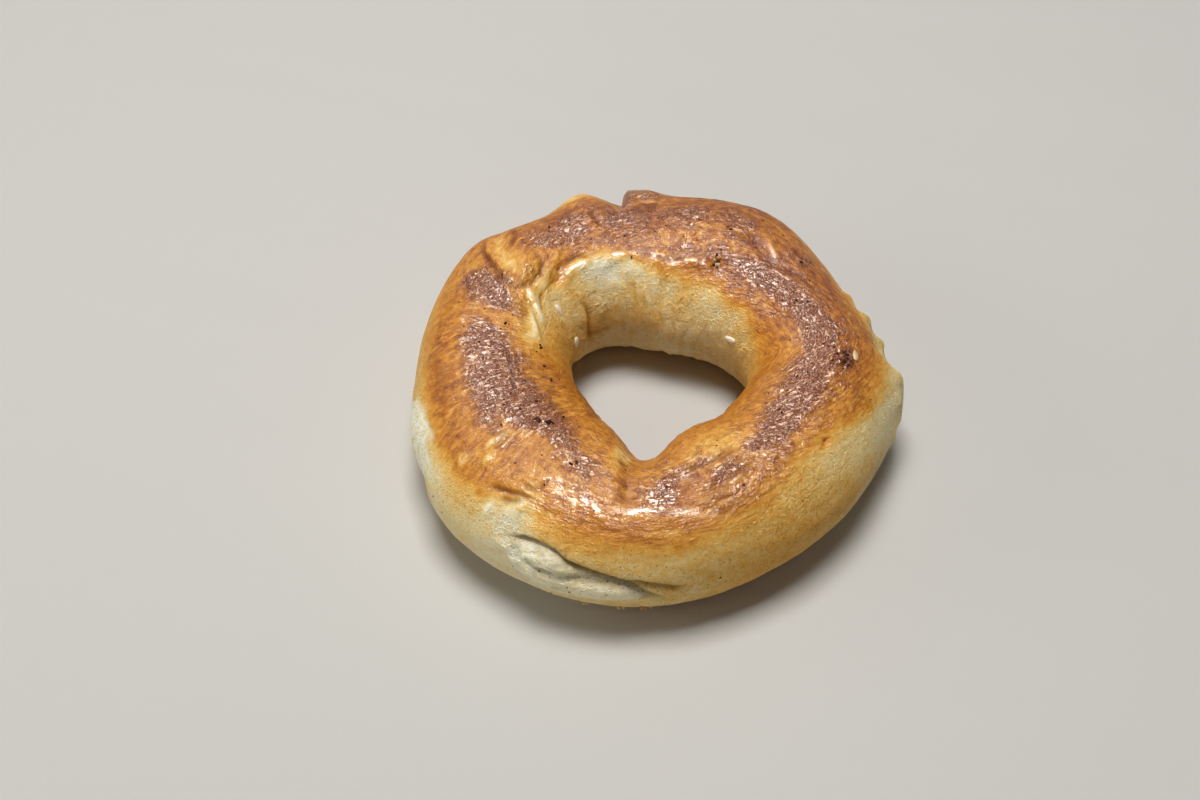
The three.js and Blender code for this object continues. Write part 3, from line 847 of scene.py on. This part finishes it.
def set_ramp(node, stops):
    elements = node.color_ramp.elements
    while len(elements) > 1:
        elements.remove(elements[-1])
    elements[0].position, elements[0].color = stops[0][0], linear(stops[0][1])
    for place, colour in stops[1:]:
        elements.new(place).color = linear(colour)


# Bread baked with an egg wash: from raw cream through straw, tan and amber to a purple brown.
BREAD_BROWNS = [
    (0.00, "#efe9cc"), (0.15, "#ecd69c"), (0.30, "#e6ba68"), (0.42, "#dba044"),
    (0.54, "#cb862e"), (0.66, "#ad6824"), (0.80, "#82441c"), (1.00, "#4a2616"),
]
# The dried film's own brown, with painted shade at the bottom of its wrinkles and a painted highlight on
# their tops.
SATIN_SHADE_TO_HIGHLIGHT = [(0.00, "#421604"), (0.36, "#803c12"), (1.00, "#ba743a")]
# Torn crumb, from its shaded pores to its dry walls.
CRUMB_CREAMS = [(0.36, "#e8deac"), (0.51, "#f8f4da"), (0.66, "#fffdf0")]
# Painted shade for what lies hollow, on baked crust and on torn crumb.
SHADE_IN_BAKED_HOLLOWS = "#4c2410"
SHADE_IN_TORN_HOLLOWS = "#76601e"
PINHOLE_BROWN = "#4a2a1c"

# The fine grain in the crust, in mm.
STREAK_WIDTH = 0.6
MOTTLE_SIZE = 1.5
WRINKLE_SIZE = 0.7
PINHOLE_SPACING = 1.7
BUMP_HEIGHT = 0.28

# How much browner the grain is, how much painted shade darkens the creases, and how strong the grain is on
# bare dough, with 1 on the wash.
GRAIN_BROWN = 0.42
CREASE_SHADE = 0.12
BARE_GRAIN = 0.72

# How far a crease and the pillow beside it reach from the crease's middle, in terms of their noise.
CREASE_EDGE = 0.04
PILLOW_EDGE = 0.14

# The film: how grainy its edge is, where it starts and is thickest, how much it hides, and where it shines.
FILM_GRAIN = 0.7
FILM_EDGE = (0.08, 0.98)
FILM_COVER = 0.88
FILM_SHINE = (0.08, 0.65)

# Pinholes: where their dark middle ends and their rim ends, as shares of the spacing, and how dark they are.
PINHOLE_EDGE = (0.08, 0.19)
PINHOLE_SHADE = 0.42

# How strong the bumps are on bare dough and in the film, with 1 on the wash, and under clear gloss.
BARE_BUMPS = 2.0
FILM_BUMPS = 0.55
CLEAR_BUMPS = 0.12

# The clear coat from bare dough to pooled wash, and the roughness from bare to film, with more where torn.
COAT_WEIGHT = (0.03, 0.95)
ROUGHNESS = (0.45, 0.35)
TORN_ROUGHNESS = 0.3


def egg_washed_crust():
    """Wheat bread, proved, brushed with egg and baked: the wash gives a hard clear gloss over amber, fine
    purplish wrinkles where it dried first, and the bare sides stay pale, matt and mottled."""
    material, tree = new_material("egg_washed_crust")
    place = add(tree, "TexCoord", {}).outputs["Object"]
    brown, film, torn, hollow_shade, washed, clear, shine, cross = (
        add(tree, "Attribute", {"attribute_name": key}).outputs["Fac"] for key in (*LOOKS, "crossed")
    )

    # Fine grain: streaks in the wash, a finer crumple on bare dough, and mottle in both.
    threads = {"noise_dimensions": "4D", "Scale": 1 / (STREAK_WIDTH * MM), "Detail": 1, "Distortion": 0.5}
    streaks = []
    for key in ("along", "across"):
        wound = add(tree, "Attribute", {"attribute_name": key}).outputs["Vector"]
        turn = add(tree, "Attribute", {"attribute_name": key + "_turn"}).outputs["Fac"]
        streaks.append(add(tree, "TexNoise", threads | {"Vector": wound, "W": turn}).outputs["Fac"])
    streak = add(tree, "Mix", {"data_type": "FLOAT", 0: cross, 2: streaks[0], 3: streaks[1]}).outputs[0]
    flecked = {"Scale": 1 / (MOTTLE_SIZE * MM), "Detail": 4, "Roughness": 0.62, "Vector": place}
    mottle = add(tree, "TexNoise", flecked).outputs["Fac"]
    crumpled = {"Scale": 1 / (WRINKLE_SIZE * MM), "Detail": 1, "Distortion": 1.2, "Vector": place}
    wrinkle = add(tree, "TexNoise", crumpled).outputs["Fac"]
    fine = add(tree, "Mix", {"data_type": "FLOAT", 0: washed, 2: wrinkle, 3: streak}).outputs[0]
    both = add(tree, "Math", {"operation": "ADD", 0: fine, 1: mottle}).outputs[0]
    grain = add(tree, "Math", {"operation": "SUBTRACT", 0: both, 1: 1}).outputs[0]

    # Wrinkles are pillows between creases, and creases lie where the summed noise is at its middle.
    folds = add(tree, "Math", {"operation": "ADD", 0: streak, 1: wrinkle}).outputs[0]
    off_middle = add(tree, "Math", {"operation": "MULTIPLY_ADD", 0: folds, 1: 0.5, 2: -0.5}).outputs[0]
    apart = add(tree, "Math", {"operation": "ABSOLUTE", 0: off_middle}).outputs[0]
    line = add(tree, "MapRange", {0: apart, 1: 0, 2: CREASE_EDGE, 3: 1, 4: 0}).outputs[0]
    # The creases get painted shade where the skin shines.
    crease_shade = add(tree, "Math", {"operation": "MULTIPLY", 0: line, 1: shine}).outputs[0]
    pillow = add(tree, "MapRange", {0: apart, 1: 0, 2: PILLOW_EDGE, 3: 0, 4: 1}).outputs[0]

    # How far it baked, with painted shade darkening the creases.
    calm = add(tree, "MapRange", {0: washed, 1: 0, 2: 1, 3: BARE_GRAIN, 4: 1}).outputs[0]
    calmed = add(tree, "Math", {"operation": "MULTIPLY", 0: grain, 1: calm}).outputs[0]
    level = add(tree, "Math", {"operation": "MULTIPLY_ADD", 0: calmed, 1: GRAIN_BROWN, 2: brown})
    level = add(tree, "Math", {"operation": "MULTIPLY_ADD", 0: crease_shade, 1: CREASE_SHADE, 2: level.outputs[0]})
    baked = add(tree, "ValToRGB", {0: level.outputs[0]})
    set_ramp(baked, BREAD_BROWNS)

    # The dried film over it, with painted shade in its creases and a painted highlight on its tops,
    #     then torn crumb, then painted shade where it lies hollow, then pinholes.
    shaded_film = add(tree, "ValToRGB", {0: pillow})
    set_ramp(shaded_film, SATIN_SHADE_TO_HIGHLIGHT)
    ragged = add(tree, "Math", {"operation": "MULTIPLY_ADD", 0: grain, 1: FILM_GRAIN, 2: film}).outputs[0]
    begins, thickest = FILM_EDGE
    satin = add(tree, "MapRange", {0: ragged, 1: begins, 2: thickest, 3: 0, 4: FILM_COVER}).outputs[0]
    colour = add(tree, "Mix", {"data_type": "RGBA", 0: satin, 6: baked.outputs[0], 7: shaded_film.outputs[0]})
    crumb = add(tree, "ValToRGB", {0: mottle})
    set_ramp(crumb, CRUMB_CREAMS)
    colour = add(tree, "Mix", {"data_type": "RGBA", 0: torn, 6: colour.outputs[2], 7: crumb.outputs[0]})
    # Hollows get painted shade: dark brown on crust and olive on torn crumb.
    painted_shades = {6: linear(SHADE_IN_BAKED_HOLLOWS), 7: linear(SHADE_IN_TORN_HOLLOWS)}
    painted_shade = add(tree, "Mix", {"data_type": "RGBA", 0: torn} | painted_shades).outputs[2]
    colour = add(tree, "Mix", {"data_type": "RGBA", 0: hollow_shade, 6: colour.outputs[2], 7: painted_shade})
    cells = add(tree, "TexVoronoi", {"Scale": 1 / (PINHOLE_SPACING * MM), "Vector": place})
    middle, rim = PINHOLE_EDGE
    dip = {0: cells.outputs["Distance"], 1: middle, 2: rim, 3: PINHOLE_SHADE, 4: 0}
    pinhole = add(tree, "MapRange", dip).outputs[0]
    speck = linear(PINHOLE_BROWN)
    colour = add(tree, "Mix", {"data_type": "RGBA", 0: pinhole, 6: colour.outputs[2], 7: speck})

    # Bumps too fine for the skin's net.
    rougher = add(tree, "Math", {"operation": "MULTIPLY", 0: grain, 1: BARE_BUMPS}).outputs[0]
    bumps = add(tree, "Mix", {"data_type": "FLOAT", 0: washed, 2: rougher, 3: folds}).outputs[0]
    puffed = add(tree, "Math", {"operation": "MULTIPLY_ADD", 0: pillow, 1: FILM_BUMPS, 2: bumps}).outputs[0]
    height = add(tree, "Mix", {"data_type": "FLOAT", 0: satin, 2: bumps, 3: puffed}).outputs[0]
    strength = add(tree, "MapRange", {0: clear, 1: 0, 2: 1, 3: 1, 4: CLEAR_BUMPS}).outputs[0]
    uneven = {"Distance": BUMP_HEIGHT * MM, "Height": height, "Strength": strength}
    bump = add(tree, "Bump", uneven).outputs[0]

    # The clear coat where the wash pooled and on the film's wrinkles, and the roughness below it.
    low, high = FILM_SHINE
    raised = add(tree, "MapRange", {0: pillow, 1: low, 2: high, 3: 0, 4: 1}).outputs[0]
    filmy = add(tree, "Math", {"operation": "MULTIPLY", 0: shine, 1: raised}).outputs[0]
    gloss = add(tree, "Math", {"operation": "MAXIMUM", 0: filmy, 1: clear}).outputs[0]
    bare, pooled = COAT_WEIGHT
    coat = add(tree, "MapRange", {0: gloss, 1: 0, 2: 1, 3: bare, 4: pooled}).outputs[0]
    dough, dried_film = ROUGHNESS
    rough = add(tree, "MapRange", {0: satin, 1: 0, 2: 1, 3: dough, 4: dried_film}).outputs[0]
    dry = add(tree, "Math", {"operation": "MULTIPLY_ADD", 0: torn, 1: TORN_ROUGHNESS, 2: rough}).outputs[0]
    finish = {
        "Base Color": colour.outputs[2],
        "Roughness": dry,
        "IOR": 1.48,
        "Specular IOR Level": 0.05,
        "Coat Weight": coat,
        "Coat Roughness": 0.08,
        "Coat IOR": 1.6,
        "Normal": bump,
        "Coat Normal": bump,
    }
    shader = add(tree, "BsdfPrincipled", finish)
    add(tree, "OutputMaterial", {"Surface": shader.outputs[0]})
    return material


SPECKLE = 0.35  # how far the mottle shifts a seed's, crumb's or fleck's toasting
SPECKLE_MIDDLE = 0.17


def toasted(name, raw, dark, roughness, grain_size, specular):
    """Seed, crumb or char: a fine mottle between two colours, which each piece's own toasting shifts."""
    material, tree = new_material(name)
    place = add(tree, "TexCoord", {}).outputs["Object"]
    toast = add(tree, "Attribute", {"attribute_name": "toast"}).outputs["Fac"]
    speckled = {"Scale": 1 / (grain_size * MM), "Detail": 3, "Vector": place}
    speckle = add(tree, "TexNoise", speckled).outputs["Fac"]
    share = add(tree, "Math", {"operation": "MULTIPLY_ADD", 0: speckle, 1: SPECKLE, 2: toast}).outputs[0]
    share = add(tree, "Math", {"operation": "SUBTRACT", 0: share, 1: SPECKLE_MIDDLE}).outputs[0]
    colour = add(tree, "Mix", {"data_type": "RGBA", 0: share, 6: linear(raw), 7: linear(dark)})
    bump = add(tree, "Bump", {"Strength": 0.4, "Distance": 0.05 * MM, "Height": speckle})
    finish = {
        "Base Color": colour.outputs[2],
        "Roughness": roughness,
        "Specular IOR Level": specular,
        "Normal": bump.outputs[0],
    }
    shader = add(tree, "BsdfPrincipled", finish)
    add(tree, "OutputMaterial", {"Surface": shader.outputs[0]})
    return material


def pale_table():
    """A plain painted board, matt and a little warm."""
    material, tree = new_material("pale_table")
    finish = {"Base Color": linear("#c8c7c3"), "Roughness": 0.8, "Specular IOR Level": 0.0}
    shader = add(tree, "BsdfPrincipled", finish)
    add(tree, "OutputMaterial", {"Surface": shader.outputs[0]})
    return material


# ---------------- the pieces

draw = np.random.default_rng(7)
skin = make_skin()
seeds = make_seeds()
flecks = make_charred_flecks(draw)
crumbs = make_crumbs(draw)
skin.data.materials.append(egg_washed_crust())
seeds.data.materials.append(toasted("hulled_sesame", "#efe7d2", "#c29a5c", 0.42, 0.5, 0.4))
flecks.data.materials.append(toasted("charred_flour", "#542c1c", "#1e100c", 0.9, 0.3, 0.05))
crumbs.data.materials.append(toasted("bread_crumb", "#e2cb9a", "#a9713a", 0.7, 0.4, 0.2))
for piece in (skin, seeds, flecks, crumbs):
    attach(piece, BODY)
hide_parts("bagel")

# ---------------- floor, light and camera

FLOOR_REACH = 6000
floor_corners = np.array([(-1, -1, 0), (1, -1, 0), (1, 1, 0), (-1, 1, 0)], float) * FLOOR_REACH * MM
floor = mesh_object("floor", floor_corners, np.array([[0, 1, 2, 3]]))
floor.data.materials.append(pale_table())

CAMERA_ELEVATION = math.radians(52)  # how steeply it looks down
CAMERA_DISTANCE = 390.4
CAMERA_AIM = Vector((-13.2, -3.05, 15.0))
LENS = 50
SENSOR = 36

camera_data = bpy.data.cameras.new("camera")
camera_data.lens = LENS
camera_data.sensor_width = SENSOR
camera = bpy.data.objects.new("camera", camera_data)
back_off = Vector((0, -math.cos(CAMERA_ELEVATION), math.sin(CAMERA_ELEVATION))) * CAMERA_DISTANCE
camera.location = (CAMERA_AIM + back_off) * MM
camera.rotation_euler = (math.pi / 2 - CAMERA_ELEVATION, 0, 0)
bpy.context.scene.collection.objects.link(camera)
bpy.context.scene.camera = camera

# Flat lamps: name, direction, width and height in mm, watts, colour. Some light the room, and the others are
# windows and lamps that only gloss mirrors.
LAMP_DISTANCE = 1000
ROOM_LIGHT = ("overhead", "left_wall", "front_wall")
LAMPS = [
    ("overhead", (-0.05, 0.12, 0.99), (420, 380), 9.7, "#fffdfa"),
    ("left_wall", (-0.93, -0.05, 0.36), (700, 400), 1.9, "#fffcf6"),
    ("front_wall", (-0.40, -0.88, 0.25), (900, 300), 1.3, "#fff8ea"),
    ("sky_window", (0, 0.62, 0.78), (760, 220), 10.8, "#fff8f2"),
    ("ceiling_lamp", (0, -0.08, 0.99), (560, 180), 13.0, "#fffdf8"),
    ("far_wall", (0, 0.96, 0.28), (2400, 500), 5.6, "#fffaf4"),
    ("side_lamp", (-0.28, 0.13, 0.95), (300, 420), 9.5, "#fffdf8"),
    ("left_window", (-0.70, 0.08, 0.71), (300, 300), 3.5, "#fffaf4"),
    ("corner_window", (-0.46, 0.60, 0.66), (300, 240), 3.6, "#fffaf4"),
    ("room_lamp", (0.20, -0.46, 0.86), (420, 240), 6.0, "#fffdf8"),
]
for name, direction, size, watts, colour in LAMPS:
    data = bpy.data.lights.new(name, "AREA")
    data.shape = "RECTANGLE"
    data.size, data.size_y = size[0] * MM, size[1] * MM
    data.energy = watts
    data.color = linear(colour)[:3]
    lamp = bpy.data.objects.new(name, data)
    towards = Vector(direction).normalized()
    lamp.location = towards * LAMP_DISTANCE * MM
    lamp.rotation_euler = towards.to_track_quat("Z", "Y").to_euler()
    lamp.visible_diffuse = name in ROOM_LIGHT
    lamp.visible_camera = False
    bpy.context.scene.collection.objects.link(lamp)

world = bpy.data.worlds.new("room")
world.use_nodes = True
world.node_tree.nodes["Background"].inputs["Color"].default_value = linear("#e8e8ec")
world.node_tree.nodes["Background"].inputs["Strength"].default_value = 0.07
bpy.context.scene.world = world
bpy.context.scene.view_settings.view_transform = "Standard"
